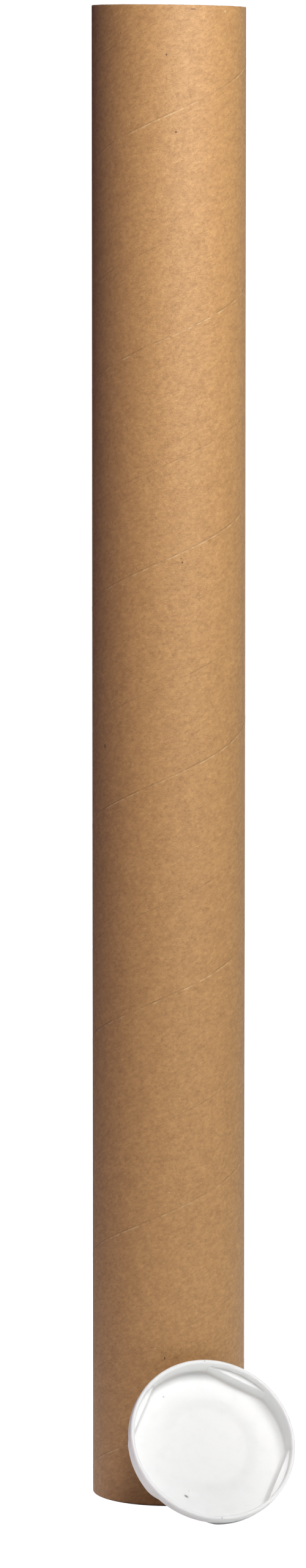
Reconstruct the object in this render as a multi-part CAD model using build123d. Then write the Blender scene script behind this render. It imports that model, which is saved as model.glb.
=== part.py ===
from build123d import *
import math
import os

# A spiral-wound cardboard mailing tube standing on its end, with its loose plastic end cap
# leaning against its foot. Millimetres, +Z up, origin at the centre of the tube's bottom end.

# Tube
TUBE_BORE_R = 38.1
TUBE_WALL = 1.6
TUBE_LENGTH = 775.0

# End cap: a shallow cup that pushes over the tube, open side called the mouth
FLAT_BITE = 1.0  # how far each of the four grip flats stands inside the tube's outer surface
ARC_GAP = 2.1  # clearance between the tube and the round stretches of the cup
RIM_WIDTH = 2.2
RIM_HEIGHT = 5.7
LEDGE_DEPTH = 4.5  # from the rim's top down to the ledges behind the flats
CUP_DEPTH = 11.7
SIDE_WALL = 1.6
FLOOR_WALL = 1.0
FLOOR_ROUND = 1.6  # inside, where the wall meets the floor
HEEL_ROUND = 2.4  # outside, round the closed end
FOOT_ROUND = 0.5  # on the rim's lower outer edge
ARC_DRAFT = 0.5  # degrees
FLAT_DRAFT = 3.0  # degrees

# Raised panel in the cup's floor, with the same step pressed into its back
PANEL_R = 20.3
PANEL_FOOT_R = 26.7
PANEL_HEIGHT = 0.9

# How the cap leans
LEAN = 32.8  # degrees that the mouth looks up from level
SWING = 17.3  # degrees that the mouth looks to +X of straight ahead (-Y)
SPIN = 59.0  # degrees that the first flat is turned about the cap's own axis
SIDE = 23.0  # how far the cap's centre stands to +X of the tube's axis
TOUCH_GAP = 0.05  # between the cap's heel and the tube

HEEL_STEPS = 720

# Worked out
TUBE_R = TUBE_BORE_R + TUBE_WALL
FLAT_R = TUBE_R - FLAT_BITE
MOUTH_R = TUBE_R + ARC_GAP
RIM_R = MOUTH_R + RIM_WIDTH
RIM_ROUND = RIM_WIDTH / 2
CAP_DEPTH = CUP_DEPTH + FLOOR_WALL


def tube():
    """The wound tube: one plain wall, cut square at both ends."""
    outside = Cylinder(TUBE_R, TUBE_LENGTH, align=(Align.CENTER, Align.CENTER, Align.MIN))
    bore = Cylinder(TUBE_BORE_R, TUBE_LENGTH, align=(Align.CENTER, Align.CENTER, Align.MIN))
    return outside - bore


def shrink(depth, draft):
    """How much a drafted wall has closed in at a depth below the ledges."""
    return (depth - LEDGE_DEPTH) * math.tan(math.radians(draft))


def wall_form(depth, skin, edge_round):
    """The cup's form from the ledges down to a depth: a cone with four flats on it.

    skin is how far the form stands outside the cup's inner surface.
    """
    height = depth - LEDGE_DEPTH
    arc_skin = skin / math.cos(math.radians(ARC_DRAFT))
    flat_skin = skin / math.cos(math.radians(FLAT_DRAFT))
    cone = Pos(0, 0, -depth) * Cone(
        MOUTH_R + arc_skin - shrink(depth, ARC_DRAFT),
        MOUTH_R + arc_skin,
        height,
        align=(Align.CENTER, Align.CENTER, Align.MIN),
    )
    top_side = 2 * (FLAT_R + flat_skin)
    foot_side = 2 * (FLAT_R + flat_skin - shrink(depth, FLAT_DRAFT))
    sections = [
        Pos(0, 0, -depth) * Rectangle(foot_side, foot_side),
        Pos(0, 0, -LEDGE_DEPTH) * Rectangle(top_side, top_side),
    ]
    form = cone & loft(sections, ruled=True)
    foot = form.faces().sort_by(Axis.Z)[0]
    return fillet(foot.edges(), edge_round)


def panel(depth):
    """The floor's raised panel, standing on a plane at a depth."""
    return Pos(0, 0, -depth) * Cone(
        PANEL_FOOT_R, PANEL_R, PANEL_HEIGHT, align=(Align.CENTER, Align.CENTER, Align.MIN)
    )


def rim():
    """The flange with its rounded rim, as a solid disc that the cup is then cut from."""
    outline = Polyline(
        (0, -LEDGE_DEPTH),
        (0, -RIM_HEIGHT),
        (RIM_R - FOOT_ROUND, -RIM_HEIGHT),
    )
    foot = RadiusArc(outline @ 1, (RIM_R, -RIM_HEIGHT + FOOT_ROUND), -FOOT_ROUND)
    side = Line(foot @ 1, (RIM_R, -RIM_ROUND))
    top = ThreePointArc(side @ 1, (MOUTH_R + RIM_ROUND, 0), (MOUTH_R, -RIM_ROUND))
    inside = Polyline(top @ 1, (MOUTH_R, -LEDGE_DEPTH), outline @ 0)
    section = make_face([outline, foot, side, top, inside])
    return revolve(Plane.XZ * section, Axis.Z)


def cap():
    """The cap in its own frame: the mouth faces +Z and the rim's top is at zero."""
    outside = rim() + wall_form(CAP_DEPTH, SIDE_WALL, HEEL_ROUND)
    cup = wall_form(CUP_DEPTH, 0.0, FLOOR_ROUND) - panel(CUP_DEPTH)
    return outside - cup - panel(CAP_DEPTH)


def heel_ring():
    """Radius and depth of the circle that the rounded heel is swept along."""
    depth = CAP_DEPTH - HEEL_ROUND
    slope = math.cos(math.radians(ARC_DRAFT))
    radius = MOUTH_R + (SIDE_WALL - HEEL_ROUND) / slope - shrink(depth, ARC_DRAFT)
    return radius, depth


def lift():
    """Height of the cap's origin that puts its lowest edge on the ground."""
    up = math.cos(math.radians(LEAN))
    back = math.sin(math.radians(LEAN))
    heel_r, heel_depth = heel_ring()
    heel = heel_r * up + heel_depth * back + HEEL_ROUND
    front = (MOUTH_R + RIM_ROUND) * up + RIM_ROUND * back + RIM_ROUND
    return max(heel, front)


def cap_plane(ahead):
    """The cap's frame in the part, with its origin a distance ahead (-Y) of the tube's axis."""
    lean = math.radians(LEAN)
    swing = math.radians(SWING)
    level = Vector(math.cos(swing), math.sin(swing), 0)
    mouth = Vector(
        math.sin(swing) * math.cos(lean), -math.cos(swing) * math.cos(lean), math.sin(lean)
    )
    return Plane(origin=(SIDE, -ahead, lift()), x_dir=level, z_dir=mouth)


def ahead():
    """Distance ahead of the tube's axis at which the heel just reaches the tube."""
    frame = cap_plane(0)
    heel_r, heel_depth = heel_ring()
    reach = TUBE_R + HEEL_ROUND + TOUCH_GAP
    distances = []
    for step in range(HEEL_STEPS):
        angle = 2 * math.pi * step / HEEL_STEPS
        point = frame.from_local_coords(
            Vector(heel_r * math.cos(angle), heel_r * math.sin(angle), -heel_depth)
        )
        if abs(point.X) < reach:
            distances.append(point.Y + math.sqrt(reach**2 - point.X**2))
    return max(distances)


def leaning_cap():
    """The cap in its place, leaning on the foot of the tube."""
    return cap_plane(ahead()) * (Rot(0, 0, SPIN) * cap())


def write(node, shape):
    """One STEP file for each node."""
    solid = shape.solids()[0]
    export_step(solid, os.path.join("parts", node + ".step"))
    print(node, "volume", round(solid.volume, 1), "valid", solid.is_valid)


os.makedirs("parts", exist_ok=True)
write("tube", tube())
write("end_cap", leaning_cap())
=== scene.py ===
"""A spiral-wound cardboard mailing tube with its loose white end cap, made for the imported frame.

Everything is in metres in the frame of the CAD: +Z up, the tube stands on z = 0, and -Y is the front.
"""
import math

import bmesh
import bpy
from bpy.props import FloatProperty, FloatVectorProperty, IntProperty, PointerProperty
from mathutils import Matrix, Vector


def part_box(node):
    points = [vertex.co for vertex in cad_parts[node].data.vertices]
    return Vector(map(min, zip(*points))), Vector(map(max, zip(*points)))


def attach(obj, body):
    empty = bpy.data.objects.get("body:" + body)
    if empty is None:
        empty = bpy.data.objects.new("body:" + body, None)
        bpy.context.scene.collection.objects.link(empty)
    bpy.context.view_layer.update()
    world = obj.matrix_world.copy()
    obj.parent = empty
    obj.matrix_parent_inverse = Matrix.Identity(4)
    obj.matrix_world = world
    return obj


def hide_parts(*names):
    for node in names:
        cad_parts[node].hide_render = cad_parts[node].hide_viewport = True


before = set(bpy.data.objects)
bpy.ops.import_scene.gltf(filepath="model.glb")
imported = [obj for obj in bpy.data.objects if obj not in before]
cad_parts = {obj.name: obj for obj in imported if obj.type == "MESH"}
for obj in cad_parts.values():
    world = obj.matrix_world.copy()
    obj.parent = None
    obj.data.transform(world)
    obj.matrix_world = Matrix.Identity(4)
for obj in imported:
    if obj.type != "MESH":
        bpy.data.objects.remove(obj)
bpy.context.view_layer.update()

bl_info = {
    "name": "Mailing tube",
    "version": (1, 0, 0),
    "blender": (4, 5, 0),
    "location": "3D View > Sidebar > Mailing tube",
    "description": "Winds a cardboard mailing tube, moulds its end cap and sets up a plain studio",
    "category": "Object",
}

MM = 0.001
TAU = 2 * math.pi
TUBE_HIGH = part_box("tube")[1]

# Kinds of node that are used often, in both geometry and material trees
MATH = "ShaderNodeMath"
VECTOR = "ShaderNodeVectorMath"
RANGE = "ShaderNodeMapRange"
MIX = "ShaderNodeMix"
NOISE = "ShaderNodeTexNoise"
CELLS = "ShaderNodeTexVoronoi"

# The few marks on the board that stand out, read off the photo and projected onto the tube: degrees
# round from the front towards +X, height in mm, and the width and height of the mark in mm. The rest
# are scattered by the material.
DARK_MARKS = (
    (9, 493, 0.8, 0.8),
    (10, 491, 1.1, 1.2),
    (-56, 395, 1.4, 2.6),
    (-2, 749, 1.0, 1.2),
    (5, 710, 1.2, 1.1),
    # This mark is painted shade: the dark of a small dent just under the top edge
    (18, 772, 3.6, 0.6),
    (-3, 78, 0.8, 1.8),
)
PALE_MARKS = (
    (46, 771, 1.3, 1.6),
)


def linear(hex_colour):
    """An sRGB hex colour as linear red, green and blue."""
    parts = [int(hex_colour[i:i + 2], 16) / 255 for i in (0, 2, 4)]
    return tuple(c / 12.92 if c <= 0.04045 else ((c + 0.055) / 1.055) ** 2.4 for c in parts)


def add(tree, kind, inputs=(), out=0, **settings):
    """Adds a node with its settings, and values or links for its inputs; gives one output, or the node."""
    node = tree.nodes.new(kind)
    for name, value in settings.items():
        setattr(node, name, value)
    for key, value in dict(inputs).items():
        if isinstance(value, bpy.types.NodeSocket):
            tree.links.new(value, node.inputs[key])
        else:
            node.inputs[key].default_value = value
    return node if out is None else node.outputs[out]


class TubeSizes(bpy.types.PropertyGroup):
    """Sizes of the wound tube."""

    radius: FloatProperty(
        name="Radius", description="Outside radius of the tube",
        default=TUBE_HIGH.x, min=0.005, unit="LENGTH", subtype="DISTANCE",
    )
    bore_radius: FloatProperty(
        name="Bore radius", description="Inside radius of the tube",
        default=38.1 * MM, min=0.004, unit="LENGTH", subtype="DISTANCE",
    )
    length: FloatProperty(
        name="Length", description="Length from the floor to the top end",
        default=TUBE_HIGH.z, min=0.02, unit="LENGTH", subtype="DISTANCE",
    )
    pitch: FloatProperty(
        name="Pitch", description="How far a seam climbs in one turn",
        default=112.9 * MM, min=0.01, unit="LENGTH", subtype="DISTANCE",
    )
    lap_height: FloatProperty(
        name="Lapped seam", description="Height of the lapped seam at the front, lowest turn",
        default=41.7 * MM, unit="LENGTH", subtype="DISTANCE",
    )
    butt_height: FloatProperty(
        name="Butted seam", description="Height of the butted seam at the front, lowest turn",
        default=90.2 * MM, unit="LENGTH", subtype="DISTANCE",
    )
    lap_step: FloatProperty(
        name="Lap step", description="How far the edge of the lapped ply stands up",
        default=0.06 * MM, min=0, unit="LENGTH", subtype="DISTANCE",
    )
    groove: FloatProperty(
        name="Groove", description="Depth of the gap between the butted edges",
        default=0.06 * MM, min=0, unit="LENGTH", subtype="DISTANCE",
    )
    edge: FloatProperty(
        name="Edge softness", description="Rounding of the cut ends",
        default=0.2 * MM, min=0.00005, unit="LENGTH", subtype="DISTANCE",
    )
    top_slope: FloatProperty(
        name="Top slope", description="How much lower the top end is cut at +X than at -X",
        default=1.0 * MM, min=0, unit="LENGTH", subtype="DISTANCE",
    )
    top_wear: FloatProperty(
        name="Top wear", description="How uneven the top edge is",
        default=0.45 * MM, min=0, unit="LENGTH", subtype="DISTANCE",
    )
    columns: IntProperty(name="Columns", description="Faces round the tube", default=144, min=24)
    rows: IntProperty(name="Rows", description="Faces across one ply between two seams", default=16, min=4)
    seed: IntProperty(name="Seed", description="Changes the wear of the top edge", default=3)


class CapSizes(bpy.types.PropertyGroup):
    """Sizes of the end cap and where it leans."""

    centre: FloatVectorProperty(
        name="Centre", description="Middle of the rim's top",
        default=(23.0 * MM, -68.544 * MM, 41.709 * MM), size=3, unit="LENGTH", subtype="TRANSLATION",
    )  # 0.73 mm nearer the tube and 0.69 mm lower than in the CAD, so that the softer heel still touches
    lean: FloatProperty(
        name="Lean", description="How far the mouth looks up from level",
        default=math.radians(32.8), unit="ROTATION", subtype="ANGLE",
    )
    swing: FloatProperty(
        name="Swing", description="How far the mouth looks to +X of the front",
        default=math.radians(17.3), unit="ROTATION", subtype="ANGLE",
    )
    spin: FloatProperty(
        name="Spin", description="Turn of the first grip flat about the cap's axis",
        default=math.radians(59.0), unit="ROTATION", subtype="ANGLE",
    )
    mouth_radius: FloatProperty(
        name="Mouth radius", description="Inside radius of the rim",
        default=41.8 * MM, min=0.005, unit="LENGTH", subtype="DISTANCE",
    )
    flat_radius: FloatProperty(
        name="Flat distance", description="From the axis to each grip flat, at the ledges",
        default=38.7 * MM, min=0.005, unit="LENGTH", subtype="DISTANCE",
    )
    rim_width: FloatProperty(
        name="Rim width", description="Width of the rounded rim",
        default=2.2 * MM, min=0.0005, unit="LENGTH", subtype="DISTANCE",
    )
    depth: FloatProperty(
        name="Depth", description="From the rim's top to the cup's floor",
        default=11.7 * MM, min=0.002, unit="LENGTH", subtype="DISTANCE",
    )
    columns: IntProperty(name="Columns", description="Faces round the cap", default=720, min=72)


class BoardFinish(bpy.types.PropertyGroup):
    """Colours of the kraft board."""

    kraft: FloatVectorProperty(
        name="Kraft", description="Colour of the lightest flocks of the outer ply",
        default=linear("C69861"), size=3, min=0, max=1, subtype="COLOR",
    )
    kraft_deep: FloatVectorProperty(
        name="Deep kraft", description="Colour of the darkest flocks",
        default=linear("9E7346"), size=3, min=0, max=1, subtype="COLOR",
    )
    # Also the colour of the painted highlights on the top lip and on the lapped seam's edge
    kraft_pale: FloatVectorProperty(
        name="Pale kraft", description="Colour of pale fibres and torn edges",
        default=linear("E1C899"), size=3, min=0, max=1, subtype="COLOR",
    )
    # Also the colour of the painted shade in the seam grooves and under the dent near the top
    speck: FloatVectorProperty(
        name="Speck", description="Colour of the dark specks in recycled pulp",
        default=linear("4A2E20"), size=3, min=0, max=1, subtype="COLOR",
    )


class StudioSetup(bpy.types.PropertyGroup):
    """Light and camera."""

    brightness: FloatProperty(
        name="Brightness", description="Strength of all the neutral lights",
        default=0.99, min=0, subtype="FACTOR",
    )
    rose_power: FloatProperty(
        name="Rose fill", description="Power of the rose-coloured fill on the tube's left",
        default=1.75, min=0, unit="POWER",
    )
    floor_glow: FloatProperty(
        name="Floor glow", description="Light that the floor gives off round the part",
        default=0.47, min=0, subtype="FACTOR",
    )
    lens: FloatProperty(
        name="Lens", description="Focal length on a 36 mm sensor", default=141.5, min=1, unit="CAMERA",
    )


# ---------------------------------------------------------------- tube

CROWDING = 0.95  # 0 spaces the rows evenly, 1 makes them meet at a seam
CUT_STEPS = 8  # across the wall at a cut end: two on each edge, four on the flat
EDGE_STEPS = 2


def seam_distance(tree, around, height, pitch, seam_height):
    """Height of a point above the nearest turn of a seam; around is 0 at the front and grows towards +X."""
    above = add(tree, MATH, {0: height, 1: seam_height}, operation="SUBTRACT")
    turns = add(tree, MATH, {0: above, 1: pitch}, operation="DIVIDE")
    share = add(tree, MATH, {0: around, 1: TAU}, operation="DIVIDE")
    phase = add(tree, MATH, {0: turns, 1: share}, operation="SUBTRACT")
    nearest = add(tree, MATH, {0: phase}, operation="ROUND")
    off = add(tree, MATH, {0: phase, 1: nearest}, operation="SUBTRACT")
    return add(tree, MATH, {0: off, 1: pitch}, operation="MULTIPLY")


def angle_from_front(tree, place):
    """Angle round +Z from the front (-Y) towards +X, of a separated position."""
    ahead = add(tree, MATH, {0: place.outputs["Y"], 1: -1.0}, operation="MULTIPLY")
    return add(tree, MATH, {0: place.outputs["X"], 1: ahead}, operation="ARCTAN2")


def helical_wall(tree, given, radius, rows_a_turn, turns, spans):
    """A wall whose rows of vertices climb with the seams and crowd towards them.

    spans is 2 where both seams show and 1 for the plain inside.
    """
    rows = add(tree, MATH, {0: rows_a_turn, 1: turns}, operation="MULTIPLY")
    grid = add(tree, "GeometryNodeMeshGrid", {
        "Size X": 1.0, "Size Y": 1.0,
        "Vertices X": add(tree, MATH, {0: given["Columns"], 1: 1.0}, operation="ADD"),
        "Vertices Y": add(tree, MATH, {0: rows, 1: 1.0}, operation="ADD"),
    })
    where = add(tree, "ShaderNodeSeparateXYZ", {0: add(tree, "GeometryNodeInputPosition")}, out=None)
    along = add(tree, MATH, {0: where.outputs["X"], 1: 0.5}, operation="ADD")
    up = add(tree, MATH, {0: where.outputs["Y"], 1: 0.5}, operation="ADD")
    turn = add(tree, MATH, {0: up, 1: turns}, operation="MULTIPLY")
    whole = add(tree, MATH, {0: turn}, operation="FLOOR")
    part = add(tree, MATH, {0: turn}, operation="FRACT")
    in_spans = add(tree, MATH, {0: part, 1: float(spans)}, operation="MULTIPLY")
    second = add(tree, MATH, {0: in_spans}, operation="FLOOR")
    share = add(tree, MATH, {0: in_spans}, operation="FRACT")
    # share - CROWDING / tau * sin(tau * share): rows a fifth of a millimetre apart at a seam
    wave = add(tree, MATH, {0: add(tree, MATH, {0: share, 1: TAU}, operation="MULTIPLY")}, operation="SINE")
    crowded = add(tree, MATH, {0: wave, 1: -CROWDING / TAU, 2: share}, operation="MULTIPLY_ADD")
    if spans == 2:
        first = add(tree, MATH, {0: given["Butt Height"], 1: given["Lap Height"]}, operation="SUBTRACT")
        rest = add(tree, MATH, {0: first, 1: -2.0, 2: given["Pitch"]}, operation="MULTIPLY_ADD")
        this_span = add(tree, MATH, {0: second, 1: rest, 2: first}, operation="MULTIPLY_ADD")
        climbed = add(tree, MATH, {0: crowded, 1: this_span,
                                   2: add(tree, MATH, {0: second, 1: first}, operation="MULTIPLY")},
                      operation="MULTIPLY_ADD")
    else:
        climbed = add(tree, MATH, {0: crowded, 1: given["Pitch"]}, operation="MULTIPLY")
    # The first row starts a turn and a half below the lapped seam, so it is all under the floor
    start = add(tree, MATH, {0: given["Pitch"], 1: -1.5, 2: given["Lap Height"]}, operation="MULTIPLY_ADD")
    risen = add(tree, MATH, {0: add(tree, MATH, {0: whole, 1: along}, operation="ADD"),
                             1: given["Pitch"], 2: start}, operation="MULTIPLY_ADD")
    height = add(tree, MATH, {0: risen, 1: climbed}, operation="ADD")
    top = add(tree, MATH, {0: given["Length"], 1: given["Edge"]}, operation="SUBTRACT")
    # Rows past an end are pressed flat onto it, and merging the doubles removes them
    trimmed = add(tree, "ShaderNodeClamp", {"Value": height, "Min": given["Edge"], "Max": top})
    return placed(tree, grid, along, radius, trimmed)


def placed(tree, grid, along, radius, height):
    """Bends a flat grid round +Z; along runs from 0 to 1, starting and ending at the back."""
    angle = add(tree, MATH, {0: along, 1: TAU, 2: TAU / 4}, operation="MULTIPLY_ADD")
    to_right = add(tree, MATH, {0: angle}, operation="COSINE")
    to_back = add(tree, MATH, {0: angle}, operation="SINE")
    spot = add(tree, "ShaderNodeCombineXYZ", {
        "X": add(tree, MATH, {0: to_right, 1: radius}, operation="MULTIPLY"),
        "Y": add(tree, MATH, {0: to_back, 1: radius}, operation="MULTIPLY"),
        "Z": height,
    })
    return add(tree, "GeometryNodeSetPosition", {"Geometry": grid, "Position": spot})


def cut_end(tree, given):
    """The ring at the top end, with softened edges; it runs from the outside in."""
    grid = add(tree, "GeometryNodeMeshGrid", {
        "Size X": 1.0, "Size Y": 1.0, "Vertices Y": CUT_STEPS + 1,
        "Vertices X": add(tree, MATH, {0: given["Columns"], 1: 1.0}, operation="ADD"),
    })
    where = add(tree, "ShaderNodeSeparateXYZ", {0: add(tree, "GeometryNodeInputPosition")}, out=None)
    along = add(tree, MATH, {0: where.outputs["X"], 1: 0.5}, operation="ADD")
    across = add(tree, MATH, {0: where.outputs["Y"], 1: 0.5}, operation="ADD")
    back = add(tree, MATH, {0: 1.0, 1: across}, operation="SUBTRACT")
    nearer = add(tree, MATH, {0: across, 1: back}, operation="MINIMUM")
    step = add(tree, MATH, {0: nearer, 1: float(CUT_STEPS)}, operation="MULTIPLY")
    on_edge = add(tree, MATH, {0: step, 1: float(EDGE_STEPS)}, operation="MINIMUM")
    bend = add(tree, MATH, {0: on_edge, 1: TAU / 4 / EDGE_STEPS}, operation="MULTIPLY")
    wall = add(tree, MATH, {0: given["Radius"], 1: given["Bore Radius"]}, operation="SUBTRACT")
    flat = add(tree, MATH, {0: wall, 1: 0.5,
                            2: add(tree, MATH, {0: given["Edge"], 1: -1.0}, operation="MULTIPLY")},
               operation="MULTIPLY_ADD")
    past_edge = add(tree, MATH, {0: step, 1: float(EDGE_STEPS)}, operation="SUBTRACT")
    past = add(tree, MATH, {0: past_edge, 1: 0.0}, operation="MAXIMUM")
    spread = add(tree, MATH, {0: past, 1: 0.5}, operation="MULTIPLY")
    round_in = add(tree, MATH, {0: 1.0, 1: add(tree, MATH, {0: bend}, operation="COSINE")},
                   operation="SUBTRACT")
    inset = add(tree, MATH, {0: round_in, 1: given["Edge"],
                             2: add(tree, MATH, {0: spread, 1: flat}, operation="MULTIPLY")},
                operation="MULTIPLY_ADD")
    inner_half = add(tree, MATH, {0: across, 1: 0.5}, operation="GREATER_THAN")
    outer = add(tree, MATH, {0: given["Radius"], 1: inset}, operation="SUBTRACT")
    inner = add(tree, MATH, {0: given["Bore Radius"], 1: inset}, operation="ADD")
    radius = add(tree, MIX, {"Factor": inner_half, "A": outer, "B": inner})
    drop = add(tree, MATH, {0: 1.0, 1: add(tree, MATH, {0: bend}, operation="SINE")}, operation="SUBTRACT")
    height = add(tree, MATH, {0: add(tree, MATH, {0: drop, 1: -1.0}, operation="MULTIPLY"),
                              1: given["Edge"], 2: given["Length"]}, operation="MULTIPLY_ADD")
    return placed(tree, grid, along, radius, height)


def relief(tree, given, shell):
    """Stands the lapped ply up, sinks the butted seam and makes the top edge uneven."""
    position = add(tree, "GeometryNodeInputPosition")
    place = add(tree, "ShaderNodeSeparateXYZ", {0: position}, out=None)
    around = angle_from_front(tree, place)
    radius = add(tree, VECTOR, {0: add(tree, VECTOR, {0: position, 1: (1, 1, 0)}, operation="MULTIPLY")},
                 out="Value", operation="LENGTH")
    # Seams come and go along their length, in stretches of about 25 mm
    fade = add(tree, RANGE, {
        "Value": add(tree, NOISE, {"Vector": position, "Scale": 1 / (25 * MM), "Detail": 1.0}),
        "From Min": 0.35, "From Max": 0.6, "To Min": 0.35, "To Max": 1.0,
    })
    lap_off = seam_distance(tree, around, place.outputs["Z"], given["Pitch"], given["Lap Height"])
    butt_off = seam_distance(tree, around, place.outputs["Z"], given["Pitch"], given["Butt Height"])
    below = add(tree, RANGE, {"Value": lap_off, "From Min": -4 * MM, "From Max": -0.3 * MM},
                interpolation_type="SMOOTHSTEP")
    dropped = add(tree, RANGE, {"Value": lap_off, "From Min": 0.0, "From Max": 0.25 * MM,
                                "To Min": 1.0, "To Max": -0.25})
    healed = add(tree, RANGE, {"Value": lap_off, "From Min": 0.5 * MM, "From Max": 3 * MM,
                               "To Min": 1.0, "To Max": 0.0})
    lap = add(tree, MATH, {0: add(tree, MATH, {0: below, 1: dropped}, operation="MULTIPLY"), 1: healed},
              operation="MULTIPLY")
    gap = add(tree, RANGE, {"Value": add(tree, MATH, {0: butt_off}, operation="ABSOLUTE"),
                            "From Min": 0.05 * MM, "From Max": 0.7 * MM, "To Min": -1.0, "To Max": 0.0})
    swell = add(tree, MATH, {0: lap, 1: given["Lap Step"],
                             2: add(tree, MATH, {0: gap, 1: given["Groove"]}, operation="MULTIPLY")},
                operation="MULTIPLY_ADD")
    outside = add(tree, RANGE, {
        "Value": radius, "From Max": given["Radius"],
        "From Min": add(tree, MATH, {0: given["Radius"], 1: given["Edge"]}, operation="SUBTRACT"),
    })
    # On the inside only a shallow seam shows
    inner_gap = add(tree, RANGE, {"Value": add(tree, MATH, {0: lap_off}, operation="ABSOLUTE"),
                                  "From Min": 0.1 * MM, "From Max": 0.8 * MM,
                                  "To Min": 0.12 * MM, "To Max": 0.0})
    inside = add(tree, RANGE, {
        "Value": radius, "From Max": given["Bore Radius"],
        "From Min": add(tree, MATH, {0: given["Bore Radius"], 1: given["Edge"]}, operation="ADD"),
    })
    # The lapped edge stands a few hundredths of a millimetre proud of the CAD's wall
    swollen = add(tree, MATH, {0: add(tree, MATH, {0: swell, 1: fade}, operation="MULTIPLY"), 1: outside},
               operation="MULTIPLY")
    moved = add(tree, MATH, {0: inner_gap, 1: inside, 2: swollen}, operation="MULTIPLY_ADD")
    outward = add(tree, VECTOR, {0: add(tree, VECTOR, {0: position, 1: (1, 1, 0)}, operation="MULTIPLY")},
                  operation="NORMALIZE")
    # Top edge: a slightly slanted cut, plus wear a few millimetres long
    near_top = add(tree, RANGE, {
        "Value": place.outputs["Z"], "From Max": given["Length"],
        "From Min": add(tree, MATH, {0: given["Length"], 1: 6 * MM}, operation="SUBTRACT"),
    }, interpolation_type="SMOOTHSTEP")
    level = add(tree, VECTOR, {0: outward, "Scale": 1.0}, operation="SCALE")
    to_right = add(tree, "ShaderNodeSeparateXYZ", {0: level}, out=None)
    slant = add(tree, MATH, {0: add(tree, MATH, {0: to_right.outputs["X"], 1: 0.5, 2: 0.5},
                                    operation="MULTIPLY_ADD"), 1: given["Top Slope"]}, operation="MULTIPLY")
    worn = add(tree, NOISE, {"Vector": level, "Scale": 7.0, "Detail": 3.0, "W": given["Seed"]},
               noise_dimensions="4D")
    drop = add(tree, MATH, {0: worn, 1: given["Top Wear"], 2: slant}, operation="MULTIPLY_ADD")
    lowered = add(tree, MATH, {0: add(tree, MATH, {0: drop, 1: near_top}, operation="MULTIPLY"), 1: -1.0},
                  operation="MULTIPLY")
    shift = add(tree, VECTOR, {
        0: add(tree, VECTOR, {0: outward, "Scale": moved}, operation="SCALE"),
        1: add(tree, "ShaderNodeCombineXYZ", {"Z": lowered}),
    }, operation="ADD")
    return add(tree, "GeometryNodeSetPosition", {"Geometry": shell, "Offset": shift})


def tube_tree():
    """Builds the geometry tree of the tube; returns it with the identifier of each input."""
    tree = bpy.data.node_groups.new("Spiral wound tube", "GeometryNodeTree")
    tree.interface.new_socket("Geometry", in_out="OUTPUT", socket_type="NodeSocketGeometry")
    names = {}
    floats = ("Radius", "Bore Radius", "Length", "Pitch", "Lap Height", "Butt Height", "Lap Step", "Groove",
              "Edge", "Top Slope", "Top Wear")
    for name in floats:
        socket = tree.interface.new_socket(name, in_out="INPUT", socket_type="NodeSocketFloat")
        names[name] = socket.identifier
    for name in ("Columns", "Rows", "Turns", "Seed"):
        socket = tree.interface.new_socket(name, in_out="INPUT", socket_type="NodeSocketInt")
        names[name] = socket.identifier
    socket = tree.interface.new_socket("Material", in_out="INPUT", socket_type="NodeSocketMaterial")
    names["Material"] = socket.identifier
    given = add(tree, "NodeGroupInput", out=None).outputs
    both = add(tree, MATH, {0: given["Rows"], 1: 2.0}, operation="MULTIPLY")
    outer = helical_wall(tree, given, given["Radius"], both, given["Turns"], 2)
    inner = helical_wall(tree, given, given["Bore Radius"], given["Rows"], given["Turns"], 1)
    top = cut_end(tree, given)
    spot = add(tree, "ShaderNodeSeparateXYZ", {0: add(tree, "GeometryNodeInputPosition")}, out=None)
    mirrored = add(tree, "ShaderNodeCombineXYZ", {
        "X": spot.outputs["X"], "Y": spot.outputs["Y"],
        "Z": add(tree, MATH, {0: given["Length"], 1: spot.outputs["Z"]}, operation="SUBTRACT"),
    })
    foot = add(tree, "GeometryNodeSetPosition", {"Geometry": top, "Position": mirrored})
    join = add(tree, "GeometryNodeJoinGeometry", out=None)
    for part in (outer, add(tree, "GeometryNodeFlipFaces", {"Mesh": inner}), top,
                 add(tree, "GeometryNodeFlipFaces", {"Mesh": foot})):
        tree.links.new(part, join.inputs[0])
    shell = add(tree, "GeometryNodeMergeByDistance", {"Geometry": join.outputs[0], "Distance": 0.01 * MM})
    shaped = relief(tree, given, shell)
    smooth = add(tree, "GeometryNodeSetShadeSmooth", {"Geometry": shaped, "Shade Smooth": True})
    real = add(tree, "GeometryNodeRealizeInstances", {"Geometry": smooth})
    done = add(tree, "GeometryNodeSetMaterial", {"Geometry": real, "Material": given["Material"]})
    add(tree, "NodeGroupOutput", {0: done}, out=None)
    return tree, names


def wind_tube(sizes, material):
    """The tube as one closed mesh, from its geometry tree."""
    tree, names = tube_tree()
    host = bpy.data.objects.new("wound_tube", bpy.data.meshes.new("wound_tube"))
    bpy.context.scene.collection.objects.link(host)
    winding = host.modifiers.new("Winding", "NODES")
    winding.node_group = tree
    turns = math.ceil((sizes.length - sizes.lap_height) / sizes.pitch + 1.5)
    values = {
        "Radius": sizes.radius, "Bore Radius": sizes.bore_radius, "Length": sizes.length,
        "Pitch": sizes.pitch, "Lap Height": sizes.lap_height, "Butt Height": sizes.butt_height,
        "Lap Step": sizes.lap_step, "Groove": sizes.groove, "Edge": sizes.edge,
        "Top Slope": sizes.top_slope, "Top Wear": sizes.top_wear, "Columns": sizes.columns,
        "Rows": sizes.rows, "Turns": turns, "Seed": sizes.seed, "Material": material,
    }
    for name, value in values.items():
        winding[names[name]] = value
    evaluated = host.evaluated_get(bpy.context.evaluated_depsgraph_get())
    mesh = bpy.data.meshes.new_from_object(evaluated)
    mesh.name = "wound_tube"
    host.modifiers.clear()
    host.data = mesh
    return host


# ---------------------------------------------------------------- cap

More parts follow.
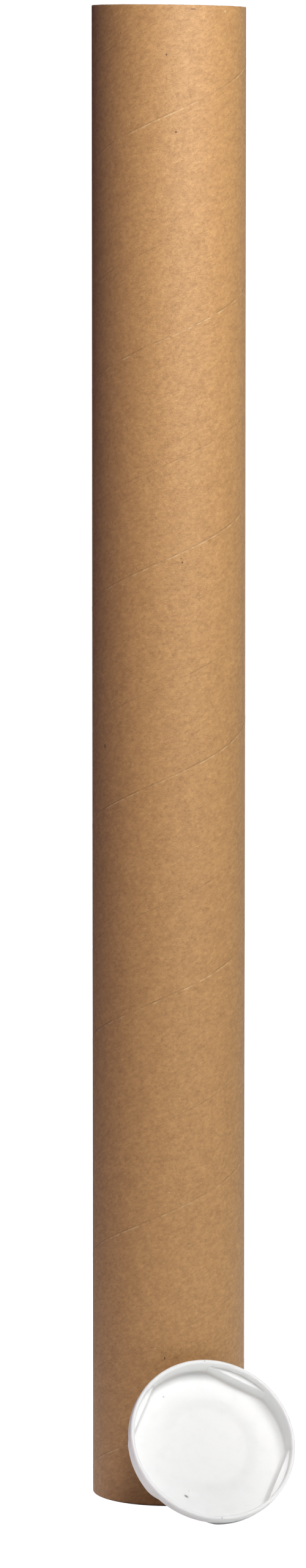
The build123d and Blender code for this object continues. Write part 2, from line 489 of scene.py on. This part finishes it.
LEDGE = 4.5 * MM  # from the rim's top down to the ledges behind the flats
RIM_HEIGHT = 5.7 * MM
SIDE_WALL = 1.6 * MM
FLOOR_WALL = 1.0 * MM
FLOOR_ROUND = 1.6 * MM
HEEL_ROUND = 4.2 * MM  # softer than the CAD's 2.4 mm
FOOT_ROUND = 0.5 * MM
ARC_DRAFT = math.radians(0.5)
FLAT_DRAFT = math.radians(3.0)
PANEL_R = 20.3 * MM
PANEL_FOOT_R = 26.7 * MM
PANEL_HEIGHT = 0.9 * MM
CORNER = 0.25 * MM  # softening of the moulded corners
BLEND = 2.0 * MM  # reach of the blend between an arc and a flat, outside
PANEL_BEND = 1.2 * MM  # half length of the soft bends round the panel


def wall_radius(sizes, off_flat, depth, skin):
    """Radius of the cup's wall at a depth, for its inner surface or one that stands skin outside it.

    off_flat is the angle from the middle of the nearest flat.
    """
    down = depth - LEDGE
    arc = sizes.mouth_radius + skin / math.cos(ARC_DRAFT) - down * math.tan(ARC_DRAFT)
    flat = sizes.flat_radius + skin / math.cos(FLAT_DRAFT) - down * math.tan(FLAT_DRAFT)
    if not skin:
        return min(arc, flat / math.cos(off_flat))
    gap = max(0.0, 1 - abs(arc - flat / math.cos(off_flat)) / BLEND)
    return min(arc, flat / math.cos(off_flat)) - gap ** 2 * BLEND / 4


def panel_rows(depth, end_radius, steps):
    """Radius and height of rows from near the axis out over the panel and its slope to a radius."""
    slope = math.atan2(PANEL_HEIGHT, PANEL_FOOT_R - PANEL_R)
    top = -depth + PANEL_HEIGHT
    rows = [(r * MM, top) for r in (2.0, 6.0, 11.0, 16.0)]
    fall = math.tan(slope) * PANEL_BEND
    shares = (-1.0, -0.5, 0.0, 0.5, 1.0)
    rows += [(PANEL_R + share * PANEL_BEND, top - fall * (share + 1) ** 2 / 4) for share in shares]
    rows += [(PANEL_FOOT_R + share * PANEL_BEND, -depth + fall * (share - 1) ** 2 / 4) for share in shares]
    start = rows[-1][0]
    rows += [(start + (end_radius - start) * k / steps, -depth) for k in range(1, steps + 1)]
    return rows


def cup_section(sizes, off_flat):
    """Rows of radius and height from the middle of the floor, over the rim, to the middle of the back."""
    depth = sizes.depth
    mouth = sizes.mouth_radius
    bead = sizes.rim_width / 2
    rim_radius = mouth + sizes.rim_width
    inner = wall_radius(sizes, off_flat, depth, 0.0)
    rows = panel_rows(depth, inner - FLOOR_ROUND, 4)
    for k in range(1, 8):
        bend = math.radians(90) * k / 8
        z = -depth + FLOOR_ROUND * (1 - math.cos(bend))
        rows.append((wall_radius(sizes, off_flat, -z, 0.0) - FLOOR_ROUND * (1 - math.sin(bend)), z))
    bottom = -depth + FLOOR_ROUND
    for k in range(5):
        z = bottom + (-LEDGE - CORNER - bottom) * k / 4
        rows.append((wall_radius(sizes, off_flat, -z, 0.0), z))
    lip = wall_radius(sizes, off_flat, LEDGE, 0.0)
    for k in (1, 2, 3):
        bend = math.radians(30) * k
        lip_r = min(lip + CORNER * (1 - math.cos(bend)), mouth)
        rows.append((lip_r, -LEDGE - CORNER * (1 - math.sin(bend))))
    for k in (0, 1, 2, 3):
        bend = math.radians(30) * k
        ledge_r = max(mouth - CORNER * (1 - math.sin(bend)), min(lip + CORNER, mouth))
        rows.append((ledge_r, -LEDGE + CORNER * (1 - math.cos(bend))))
    for z in (-3.4 * MM, -2.4 * MM):
        rows.append((mouth, z))
    for k in range(17):
        bend = math.pi * k / 16
        rows.append((mouth + bead - bead * math.cos(bend), -bead + bead * math.sin(bend)))
    for k in range(1, 4):
        rows.append((rim_radius, -bead + (-RIM_HEIGHT + FOOT_ROUND + bead) * k / 4))
    for k in range(5):
        bend = math.radians(90) * k / 4
        rows.append((rim_radius - FOOT_ROUND * (1 - math.cos(bend)),
                     -RIM_HEIGHT + FOOT_ROUND * (1 - math.sin(bend))))
    back = depth + FLOOR_WALL
    outer = wall_radius(sizes, off_flat, RIM_HEIGHT, SIDE_WALL)
    for k in (0, 1, 2, 3):
        bend = math.radians(30) * k
        rows.append((outer + CORNER * (1 - math.sin(bend)), -RIM_HEIGHT - CORNER * (1 - math.cos(bend))))
    for k in range(1, 4):
        z = -RIM_HEIGHT - CORNER + (-back + HEEL_ROUND + RIM_HEIGHT + CORNER) * k / 3
        rows.append((wall_radius(sizes, off_flat, -z, SIDE_WALL), z))
    for k in range(1, 9):
        bend = math.radians(90) * k / 8
        z = -back + HEEL_ROUND * (1 - math.sin(bend))
        rows.append((wall_radius(sizes, off_flat, -z, SIDE_WALL) - HEEL_ROUND * (1 - math.cos(bend)), z))
    under = panel_rows(back, rows[-1][0], 3)
    return rows + under[-2::-1]


def cap_frame(sizes):
    """The cap's own frame in the part: the mouth faces its +Z and the first flat is on its +X."""
    level = Vector((math.cos(sizes.swing), math.sin(sizes.swing), 0))
    mouth = Vector((math.sin(sizes.swing) * math.cos(sizes.lean),
                    -math.cos(sizes.swing) * math.cos(sizes.lean), math.sin(sizes.lean)))
    turned = Matrix((level, mouth.cross(level), mouth)).transposed().to_4x4()
    return Matrix.Translation(Vector(sizes.centre)) @ turned @ Matrix.Rotation(sizes.spin, 4, "Z")


def mould_cap(sizes, material):
    """The cap as one closed mesh, swept round its axis from a section that follows the four flats."""
    form = bmesh.new()
    quarter = math.radians(90)
    columns = []
    for column in range(sizes.columns):
        angle = TAU * column / sizes.columns
        off_flat = (angle + quarter / 2) % quarter - quarter / 2
        section = cup_section(sizes, off_flat)
        columns.append([form.verts.new((r * math.cos(angle), r * math.sin(angle), z)) for r, z in section])
    rows = len(columns[0])
    floor_pole = form.verts.new((0, 0, -sizes.depth + PANEL_HEIGHT))
    back_pole = form.verts.new((0, 0, -sizes.depth - FLOOR_WALL + PANEL_HEIGHT))
    for here, there in zip(columns, columns[1:] + columns[:1]):
        form.faces.new((floor_pole, here[0], there[0]))
        form.faces.new((back_pole, there[-1], here[-1]))
        for row in range(rows - 1):
            form.faces.new((here[row], here[row + 1], there[row + 1], there[row]))
    bmesh.ops.remove_doubles(form, verts=form.verts, dist=0.002 * MM)
    for face in form.faces:
        face.smooth = True
    form.transform(cap_frame(sizes))
    mesh = bpy.data.meshes.new("moulded_cap")
    form.to_mesh(mesh)
    form.free()
    mesh.materials.append(material)
    piece = bpy.data.objects.new("moulded_cap", mesh)
    bpy.context.scene.collection.objects.link(piece)
    return piece


# ---------------------------------------------------------------- materials

PLIES = 5


def fresh_material(name):
    """An empty material with its output node."""
    material = bpy.data.materials.new(name)
    material.use_nodes = True
    material.node_tree.nodes.clear()
    return material, material.node_tree


def marks_mask(tree, unrolled, marks):
    """How much of each point lies in one of the listed marks; unrolled is (arc length, height)."""
    total = None
    for degrees, height, wide, high in marks:
        arc = math.radians(degrees) * TUBE_HIGH.x
        off = add(tree, VECTOR, {0: unrolled, 1: (arc, height * MM, 0)}, operation="SUBTRACT")
        scaled = add(tree, VECTOR, {0: off, 1: (2 / (wide * MM), 2 / (high * MM), 0)}, operation="MULTIPLY")
        far = add(tree, VECTOR, {0: scaled}, out="Value", operation="LENGTH")
        mask = add(tree, RANGE, {"Value": far, "From Min": 0.55, "From Max": 1.15,
                                 "To Min": 1.0, "To Max": 0.0})
        total = mask if total is None else add(tree, MATH, {0: total, 1: mask}, operation="MAXIMUM")
    return total


def specks(tree, ply, cell, size, share, stretch):
    """Scattered specks: one to a cell of the given width at most, none in most cells."""
    across = add(tree, VECTOR, {0: ply, 1: (1 / stretch, 1, 1)}, operation="MULTIPLY")
    cells = add(tree, CELLS, {"Vector": across, "Scale": 1 / cell, "Randomness": 1.0}, out=None)
    pick = add(tree, "ShaderNodeSeparateColor", {0: cells.outputs["Color"]}, out=None)
    there = add(tree, MATH, {0: pick.outputs["Red"], 1: share}, operation="LESS_THAN")
    big = add(tree, MATH, {0: pick.outputs["Green"], 1: 3.0}, operation="POWER")
    reach = add(tree, RANGE, {"Value": big, "To Min": 0.35 * size / cell, "To Max": size / cell})
    near = add(tree, RANGE, {"Value": cells.outputs["Distance"], "From Min": reach,
                             "From Max": add(tree, MATH, {0: reach, 1: 0.5}, operation="MULTIPLY"),
                             "To Min": 0.0, "To Max": 1.0})
    strength = add(tree, RANGE, {"Value": pick.outputs["Blue"], "To Min": 0.3, "To Max": 1.0})
    shown = add(tree, MATH, {0: near, 1: there}, operation="MULTIPLY")
    return add(tree, MATH, {0: shown, 1: strength}, operation="MULTIPLY")


def kraft_board(sizes, finish):
    """Recycled kraft paper, wound and glued: a matt, slightly fuzzy brown skin, mottled along the ply,
    with dark and pale specks of pulp, thin seams that climb round it, and bare plies at the cut ends."""
    material, tree = fresh_material("Kraft_board_spiral_wound")
    place_socket = add(tree, "ShaderNodeTexCoord", out="Object")
    place = add(tree, "ShaderNodeSeparateXYZ", {0: place_socket}, out=None)
    around = angle_from_front(tree, place)
    height = place.outputs["Z"]
    sideways = add(tree, VECTOR, {0: place_socket, 1: (1, 1, 0)}, operation="MULTIPLY")
    radius = add(tree, VECTOR, {0: sideways}, out="Value", operation="LENGTH")
    # Coordinates on the ply: along it, across it, and radius. They run on without a break from turn to
    # turn of one strip and jump only at its seam, as the paper's own pattern does.
    rise = math.atan2(sizes.pitch, TAU * sizes.radius)
    arc = add(tree, MATH, {0: around, 1: sizes.radius}, operation="MULTIPLY")
    turned = add(tree, MATH, {0: around, 1: -1 / TAU,
                              2: add(tree, MATH, {0: add(tree, MATH, {0: height, 1: sizes.lap_height},
                                                         operation="SUBTRACT"), 1: sizes.pitch},
                                     operation="DIVIDE")}, operation="MULTIPLY_ADD")
    strip = add(tree, MATH, {0: turned}, operation="FLOOR")
    across = add(tree, MATH, {0: add(tree, MATH, {0: turned}, operation="FRACT"),
                              1: sizes.pitch * math.cos(rise)}, operation="MULTIPLY")
    slant = add(tree, MATH, {0: height, 1: math.sin(rise),
                             2: add(tree, MATH, {0: arc, 1: math.cos(rise)}, operation="MULTIPLY")},
                operation="MULTIPLY_ADD")
    along = add(tree, MATH, {0: strip, 1: TAU * sizes.radius * math.cos(rise), 2: slant},
                operation="MULTIPLY_ADD")
    ply = add(tree, "ShaderNodeCombineXYZ", {"X": along, "Y": across, "Z": radius})
    unrolled = add(tree, "ShaderNodeCombineXYZ", {"X": arc, "Y": height})

    # Mottling: clouds 12 mm wide and less, then flocks from 3 down to 0.8 mm, drawn out a little along
    # the ply. A real fibre is about 0.03 mm thick, too fine to show, so the finest flock stands for it.
    clouds = add(tree, NOISE, {"Vector": ply, "Scale": 1 / (6 * MM), "Detail": 2.0, "Roughness": 0.6})
    long_way = add(tree, VECTOR, {0: ply, 1: (0.68, 1, 1)}, operation="MULTIPLY")
    flocks = add(tree, NOISE, {"Vector": long_way, "Scale": 1 / (1.5 * MM), "Detail": 2.0,
                               "Roughness": 0.8})
    tone = add(tree, MATH, {0: clouds, 1: 0.25,
                            2: add(tree, MATH, {0: flocks, 1: 0.75}, operation="MULTIPLY")},
               operation="MULTIPLY_ADD")
    mottled = add(tree, RANGE, {"Value": tone, "From Min": 0.28, "From Max": 0.72})
    colour = add(tree, MIX, {"Factor": mottled, "A": (*finish.kraft_deep, 1), "B": (*finish.kraft, 1)},
                 out=2, data_type="RGBA")

    # Seams: their dark lines are painted shade in the grooves between the plies
    lap_off = seam_distance(tree, around, height, sizes.pitch, sizes.lap_height)
    butt_off = seam_distance(tree, around, height, sizes.pitch, sizes.butt_height)
    fade = add(tree, RANGE, {
        "Value": add(tree, NOISE, {"Vector": ply, "Scale": 1 / (16 * MM), "Detail": 2.0}),
        "From Min": 0.38, "From Max": 0.62, "To Min": 0.12, "To Max": 1.0,
    })
    off_shadow = add(tree, MATH, {0: lap_off, 1: 0.2 * MM}, operation="SUBTRACT")
    lap_line = add(tree, RANGE, {"Value": add(tree, MATH, {0: off_shadow}, operation="ABSOLUTE"),
                                 "From Min": 0.1 * MM, "From Max": 0.42 * MM, "To Min": 1.0, "To Max": 0.0})
    butt_line = add(tree, RANGE, {"Value": add(tree, MATH, {0: butt_off}, operation="ABSOLUTE"),
                                  "From Min": 0.08 * MM, "From Max": 0.36 * MM,
                                  "To Min": 0.75, "To Max": 0.0})
    lines = add(tree, MATH, {0: lap_line, 1: butt_line}, operation="MAXIMUM")
    seam_groove_shade = add(tree, MATH, {0: lines, 1: fade}, operation="MULTIPLY")
    # A pale line under the lapped seam: partly its torn fibres, partly a painted highlight where the raised
    # edge catches the light
    torn = add(tree, RANGE, {
        "Value": add(tree, NOISE, {"Vector": ply, "Scale": 1 / (3.5 * MM), "Detail": 2.0}),
        "From Min": 0.46, "From Max": 0.62,
    })
    off_edge = add(tree, MATH, {0: lap_off, 1: -0.55 * MM}, operation="SUBTRACT")
    lap_edge = add(tree, RANGE, {"Value": add(tree, MATH, {0: off_edge}, operation="ABSOLUTE"),
                                 "From Min": 0.15 * MM, "From Max": 0.5 * MM, "To Min": 1.0, "To Max": 0.0})
    torn_edge_and_highlight = add(tree, MATH, {0: lap_edge, 1: torn}, operation="MULTIPLY")

    # Specks
    dark = add(tree, MATH, {0: specks(tree, ply, 4.2 * MM, 0.42 * MM, 0.35, 1.2),
                            1: specks(tree, ply, 1.9 * MM, 0.36 * MM, 0.35, 1.9)}, operation="MAXIMUM")
    dark = add(tree, MATH, {0: dark, 1: 0.42}, operation="MULTIPLY")
    placed_dark = marks_mask(tree, unrolled, DARK_MARKS)
    dark = add(tree, MATH, {0: dark, 1: add(tree, MATH, {0: placed_dark, 1: 0.8}, operation="MULTIPLY")},
               operation="MAXIMUM")
    # Painted shade of the seam grooves darkens the board along with the specks
    dark = add(tree, MATH, {0: dark, 1: add(tree, MATH, {0: seam_groove_shade, 1: 0.38}, operation="MULTIPLY")},
               operation="MAXIMUM")
    shifted = add(tree, VECTOR, {0: ply, 1: (0.31, 0.17, 0)}, operation="ADD")
    pale = specks(tree, shifted, 2.6 * MM, 0.5 * MM, 0.4, 1.8)
    pale = add(tree, MATH, {0: add(tree, MATH, {0: pale, 1: 0.5}, operation="MULTIPLY"),
                            1: add(tree, MATH, {0: marks_mask(tree, unrolled, PALE_MARKS), 1: 0.45},
                                   operation="MULTIPLY")}, operation="MAXIMUM")
    # The lapped edge's torn fibres and painted highlight join the pale specks
    pale = add(tree, MATH, {0: pale, 1: add(tree, MATH, {0: torn_edge_and_highlight, 1: 0.38}, operation="MULTIPLY")},
               operation="MAXIMUM")
    # The top edge is rubbed pale in a thin lip, and the pale band is partly a painted highlight of the cut
    # edge
    lip = add(tree, RANGE, {"Value": height, "From Min": sizes.length - 1.3 * MM,
                            "From Max": sizes.length - 0.7 * MM, "To Min": 0.0, "To Max": 0.5})
    lip = add(tree, MATH, {0: lip, 1: fade}, operation="MULTIPLY")
    pale = add(tree, MATH, {0: pale, 1: lip}, operation="MAXIMUM")
    colour = add(tree, MIX, {"Factor": pale, "A": colour, "B": (*finish.kraft_pale, 1)},
                 out=2, data_type="RGBA")
    colour = add(tree, MIX, {"Factor": dark, "A": colour, "B": (*finish.speck, 1)},
                 out=2, data_type="RGBA")

    # Painted contact shadow: the foot's edge is painted dark in a line that widens from the left towards
    # the cap
    tall = add(tree, RANGE, {"Value": around, "From Min": math.radians(-75), "From Max": math.radians(0),
                             "To Min": 0.25 * MM, "To Max": 1.3 * MM})
    painted_contact_shadow = add(tree, RANGE, {"Value": height, "From Min": tall,
                             "From Max": add(tree, MATH, {0: tall, 1: 0.3}, operation="MULTIPLY"),
                             "To Min": 0.0, "To Max": 0.85})
    colour = add(tree, MIX, {"Factor": painted_contact_shadow, "A": colour, "B": (*linear("2A1B14"), 1)},
                 out=2, data_type="RGBA")

    # Cut ends: five plies, each a little over 0.3 mm, with darker glue lines between them
    into_wall = add(tree, MATH, {0: radius, 1: sizes.bore_radius}, operation="SUBTRACT")
    ply_phase = add(tree, MATH, {0: into_wall, 1: TAU * PLIES / (sizes.radius - sizes.bore_radius)},
                    operation="MULTIPLY")
    ply_wave = add(tree, MATH, {0: ply_phase}, operation="COSINE")
    glue = add(tree, RANGE, {"Value": ply_wave, "From Min": 0.6, "From Max": 1.0,
                             "To Min": 0.0, "To Max": 0.55})
    bare = add(tree, MIX, {"Factor": glue, "A": (*linear("B98A5B"), 1), "B": (*linear("7C5334"), 1)},
               out=2, data_type="RGBA")
    in_wall = add(tree, RANGE, {"Value": radius, "From Min": sizes.radius - 0.15 * MM,
                                "From Max": sizes.radius - 0.35 * MM})
    off_bore = add(tree, RANGE, {"Value": radius, "From Min": sizes.bore_radius + 0.12 * MM,
                                 "From Max": sizes.bore_radius + 0.3 * MM})
    cut = add(tree, MATH, {0: in_wall, 1: off_bore}, operation="MULTIPLY")
    colour = add(tree, MIX, {"Factor": cut, "A": colour, "B": bare}, out=2, data_type="RGBA")

    # Fuzz and mottling as relief: flocks stand up to about 0.1 mm, which shows most where light grazes
    pressed = add(tree, MATH, {0: seam_groove_shade, 1: -0.15, 2: flocks}, operation="MULTIPLY_ADD")
    bumped = add(tree, "ShaderNodeBump", {"Height": pressed, "Strength": 0.85, "Distance": 0.35 * MM},
                 out="Normal")
    roughness = add(tree, RANGE, {"Value": mottled, "To Min": 0.62, "To Max": 0.52})
    skin = add(tree, "ShaderNodeBsdfPrincipled", {
        "Base Color": colour, "Roughness": roughness, "Normal": bumped,
        "IOR": 1.5, "Specular IOR Level": 0.5, "Sheen Weight": 0.12, "Sheen Roughness": 0.5,
    })
    add(tree, "ShaderNodeOutputMaterial", {"Surface": skin}, out=None)
    return material


# Flecks caught in the cap's floor, read off the photo and projected onto it: mm from its middle level
# and up, stretch, reach and strength
CAP_FLECKS = (
    (-16, -26, 2.2, 0.75 * MM, 0.85),
    (-19, 29, 1.2, 0.6 * MM, 0.5),
)


def white_polyethylene(sizes):
    """Injection-moulded low-density polyethylene: milky white, satin, light sinks two millimetres into it,
    with faint handling scuffs and a few caught specks."""
    material, tree = fresh_material("Polyethylene_white_moulded")
    place = add(tree, "ShaderNodeTexCoord", out="Object")
    scuffs = add(tree, NOISE, {"Vector": place, "Scale": 1 / (7 * MM), "Detail": 4.0, "Roughness": 0.6})
    grime = add(tree, RANGE, {"Value": scuffs, "From Min": 0.5, "From Max": 0.78,
                              "To Min": 0.0, "To Max": 0.10})
    colour = add(tree, MIX, {"Factor": grime, "A": (*linear("F5F8F6"), 1), "B": (*linear("C8CCCB"), 1)},
                 out=2, data_type="RGBA")
    cells = add(tree, CELLS, {"Vector": place, "Scale": 1 / (9 * MM), "Randomness": 1.0}, out=None)
    pick = add(tree, "ShaderNodeSeparateColor", {0: cells.outputs["Color"]}, out=None)
    there = add(tree, MATH, {0: pick.outputs["Red"], 1: 0.15}, operation="LESS_THAN")
    near = add(tree, RANGE, {"Value": cells.outputs["Distance"], "From Min": 0.06, "From Max": 0.02,
                             "To Min": 0.0, "To Max": 0.45})
    fleck = add(tree, MATH, {0: near, 1: there}, operation="MULTIPLY")
    level_frame = cap_frame(sizes) @ Matrix.Rotation(-sizes.spin, 4, "Z")
    for level, up, stretch, reach, strength in CAP_FLECKS:
        spot = level_frame @ Vector((level * MM, up * MM, -sizes.depth))
        off = add(tree, VECTOR, {0: place, 1: spot}, operation="SUBTRACT")
        lain = add(tree, "ShaderNodeVectorRotate", {
            "Vector": off, "Axis": (0, 1, 0), "Angle": math.radians(-35),
        }, rotation_type="AXIS_ANGLE")
        drawn = add(tree, VECTOR, {0: lain, 1: (1 / stretch, 1, 1)}, operation="MULTIPLY")
        far = add(tree, VECTOR, {0: drawn}, out="Value", operation="LENGTH")
        mark = add(tree, RANGE, {"Value": far, "From Min": reach, "From Max": 0.4 * reach,
                                 "To Min": 0.0, "To Max": strength})
        fleck = add(tree, MATH, {0: fleck, 1: mark}, operation="MAXIMUM")
    colour = add(tree, MIX, {"Factor": fleck, "A": colour, "B": (*linear("6A6864"), 1)},
                 out=2, data_type="RGBA")
    roughness = add(tree, RANGE, {"Value": scuffs, "To Min": 0.36, "To Max": 0.5})
    fine = add(tree, NOISE, {"Vector": place, "Scale": 1 / (1.2 * MM), "Detail": 2.0})
    bumped = add(tree, "ShaderNodeBump", {"Height": fine, "Strength": 0.12, "Distance": 0.03 * MM},
                 out="Normal")
    skin = add(tree, "ShaderNodeBsdfPrincipled", {
        "Base Color": colour, "Roughness": roughness, "Normal": bumped, "IOR": 1.51,
        "Subsurface Weight": 0.75, "Subsurface Radius": (1.0, 1.0, 0.98), "Subsurface Scale": 2.2 * MM,
    })
    add(tree, "ShaderNodeOutputMaterial", {"Surface": skin}, out=None)
    return material


CAP_FOOT = (0.012, -0.082, 0)  # where the cap meets the floor


def studio_white(glow):
    """Matt white studio floor, lit through from below: it gives light to what stands on it, less with
    distance and least under the cap, and reads as bright as the air behind it."""
    material, tree = fresh_material("Studio_floor_matt_white")
    matt = add(tree, "ShaderNodeBsdfDiffuse", {"Color": (*linear("F2F2F2"), 1)})
    place = add(tree, "ShaderNodeTexCoord", out="Object")
    away = add(tree, VECTOR, {0: place}, out="Value", operation="LENGTH")
    under = add(tree, RANGE, {"Value": away, "From Min": 0.7, "From Max": 0.1,
                              "To Min": 0.0, "To Max": glow}, interpolation_type="SMOOTHSTEP")
    from_cap = add(tree, VECTOR, {0: place, 1: CAP_FOOT}, out="Value", operation="DISTANCE")
    open_floor = add(tree, RANGE, {"Value": from_cap, "From Min": 0.02, "From Max": 0.09},
                     interpolation_type="SMOOTHSTEP")
    lit = add(tree, MATH, {0: under, 1: open_floor}, operation="MULTIPLY")
    lamp = add(tree, "ShaderNodeEmission", {"Color": (1, 1, 1, 1), "Strength": lit})
    given = add(tree, "ShaderNodeAddShader", {0: matt, 1: lamp})
    bright = add(tree, "ShaderNodeAddShader", {
        0: matt, 1: add(tree, "ShaderNodeEmission", {"Color": (1, 1, 1, 1), "Strength": 1.05}),
    })
    seen = add(tree, "ShaderNodeLightPath", out="Is Camera Ray")
    shown = add(tree, "ShaderNodeMixShader", {0: seen, 1: given, 2: bright})
    add(tree, "ShaderNodeOutputMaterial", {"Surface": shown}, out=None)
    return material


# ---------------------------------------------------------------- studio


def aimed(name, data, spot, target):
    """Places an object at a spot, looking at a target."""
    thing = bpy.data.objects.new(name, data)
    thing.location = spot
    thing.rotation_euler = (Vector(target) - Vector(spot)).to_track_quat("-Z", "Y").to_euler()
    bpy.context.scene.collection.objects.link(thing)
    return thing


FLOOR_SIDE = 300.0  # m, so that its far edge is out of sight from any view
CAMERA_SPOT = (-8.15 * MM, -3186.7 * MM, 699.6 * MM)
CAMERA_DOWN = math.radians(5.85)
FILL_SPOT = (-1.74, -0.47, 0.6)

# Name, degrees round from the front towards +X, height and distance in m, width, height, and watts
SOFT_BOXES = (
    ("Right box", 45, 1.0, 1.8, 0.7, 1.2, 5.5),
    ("Near box", 15, 0.95, 0.8, 0.4, 0.4, 6.4),
    ("Side box", 45, 0.95, 0.8, 0.4, 0.4, 3.3),
    ("Back box", 180, 1.0, 1.8, 0.7, 1.2, 6.0),
)


def soft_box(name, wide, tall, watts):
    """A rectangular soft light."""
    light = bpy.data.lights.new(name, "AREA")
    light.shape, light.size, light.size_y, light.energy = "RECTANGLE", wide, tall, watts
    return light


def set_studio(setup):
    """Floor, soft boxes from the front, the right and behind, and the camera."""
    scene = bpy.context.scene
    half = FLOOR_SIDE / 2
    corners = [(-half, -half, 0), (half, -half, 0), (half, half, 0), (-half, half, 0)]
    mesh = bpy.data.meshes.new("studio_floor")
    mesh.from_pydata(corners, [], [(0, 1, 2, 3)])
    mesh.materials.append(studio_white(setup.floor_glow))
    floor = bpy.data.objects.new("studio_floor", mesh)
    scene.collection.objects.link(floor)

    world = bpy.data.worlds.new("Studio air")
    world.use_nodes = True
    world.node_tree.nodes.clear()
    unlit = add(world.node_tree, "ShaderNodeBackground", {"Color": (0, 0, 0, 1), "Strength": 0.0})
    white = add(world.node_tree, "ShaderNodeBackground", {"Color": (1, 1, 1, 1), "Strength": 1.05})
    seen = add(world.node_tree, "ShaderNodeLightPath", out="Is Camera Ray")
    shown = add(world.node_tree, "ShaderNodeMixShader", {0: seen, 1: unlit, 2: white})
    add(world.node_tree, "ShaderNodeOutputWorld", {"Surface": shown}, out=None)
    scene.world = world

    for name, degrees, height, distance, wide, tall, watts in SOFT_BOXES:
        box = soft_box(name, wide, tall, watts * setup.brightness)
        swing = math.radians(degrees)
        spot = (distance * math.sin(swing), -distance * math.cos(swing), height)
        aimed(name, box, spot, (0, 0, 0.5 * TUBE_HIGH.z))
    # With little green in it, it warms the shaded side of the board
    rose = soft_box("Rose fill", 0.7, 1.2, setup.rose_power)
    rose.color = linear("FF4CBC")
    aimed("Rose fill", rose, FILL_SPOT, (0, 0, 0.5 * TUBE_HIGH.z))

    lens = bpy.data.cameras.new("Camera")
    lens.sensor_width, lens.lens = 36.0, setup.lens
    lens.clip_end = 200.0
    camera = bpy.data.objects.new("Camera", lens)
    camera.location = CAMERA_SPOT
    camera.rotation_euler = (TAU / 4 - CAMERA_DOWN, 0, 0)
    scene.collection.objects.link(camera)
    scene.camera = camera
    scene.view_settings.view_transform = "Standard"


# ---------------------------------------------------------------- add-on


class MAILTUBE_OT_wind(bpy.types.Operator):
    """Wind the cardboard tube"""

    bl_idname = "mailtube.wind"
    bl_label = "Wind tube"

    def execute(self, context):
        sizes = context.scene.mailtube_tube
        tube = wind_tube(sizes, kraft_board(sizes, context.scene.mailtube_board))
        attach(tube, "root")
        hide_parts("tube")
        return {"FINISHED"}


class MAILTUBE_OT_cap(bpy.types.Operator):
    """Mould the end cap and lean it on the tube"""

    bl_idname = "mailtube.cap"
    bl_label = "Mould cap"

    def execute(self, context):
        sizes = context.scene.mailtube_cap
        cap = mould_cap(sizes, white_polyethylene(sizes))
        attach(cap, "root")
        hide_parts("end_cap")
        return {"FINISHED"}


class MAILTUBE_OT_studio(bpy.types.Operator):
    """Set up the floor, the lights and the camera"""

    bl_idname = "mailtube.studio"
    bl_label = "Set studio"

    def execute(self, context):
        set_studio(context.scene.mailtube_studio)
        return {"FINISHED"}


class MAILTUBE_PT_panel(bpy.types.Panel):
    """Sizes, colours and buttons in the sidebar"""

    bl_label = "Mailing tube"
    bl_idname = "MAILTUBE_PT_panel"
    bl_space_type = "VIEW_3D"
    bl_region_type = "UI"
    bl_category = "Mailing tube"

    def draw(self, context):
        for group, operator in (("mailtube_tube", "mailtube.wind"), ("mailtube_board", None),
                                ("mailtube_cap", "mailtube.cap"), ("mailtube_studio", "mailtube.studio")):
            box = self.layout.box()
            values = getattr(context.scene, group)
            for name in values.__annotations__:
                box.prop(values, name)
            if operator:
                box.operator(operator)


GROUPS = {
    "mailtube_tube": TubeSizes, "mailtube_cap": CapSizes,
    "mailtube_board": BoardFinish, "mailtube_studio": StudioSetup,
}
CLASSES = (*GROUPS.values(), MAILTUBE_OT_wind, MAILTUBE_OT_cap, MAILTUBE_OT_studio, MAILTUBE_PT_panel)


def register():
    for cls in CLASSES:
        bpy.utils.register_class(cls)
    for name, group in GROUPS.items():
        setattr(bpy.types.Scene, name, PointerProperty(type=group))


def unregister():
    for name in GROUPS:
        delattr(bpy.types.Scene, name)
    for cls in reversed(CLASSES):
        bpy.utils.unregister_class(cls)


def main():
    register()
    bpy.ops.mailtube.wind()
    bpy.ops.mailtube.cap()
    bpy.ops.mailtube.studio()


if __name__ == "__main__":
    main()
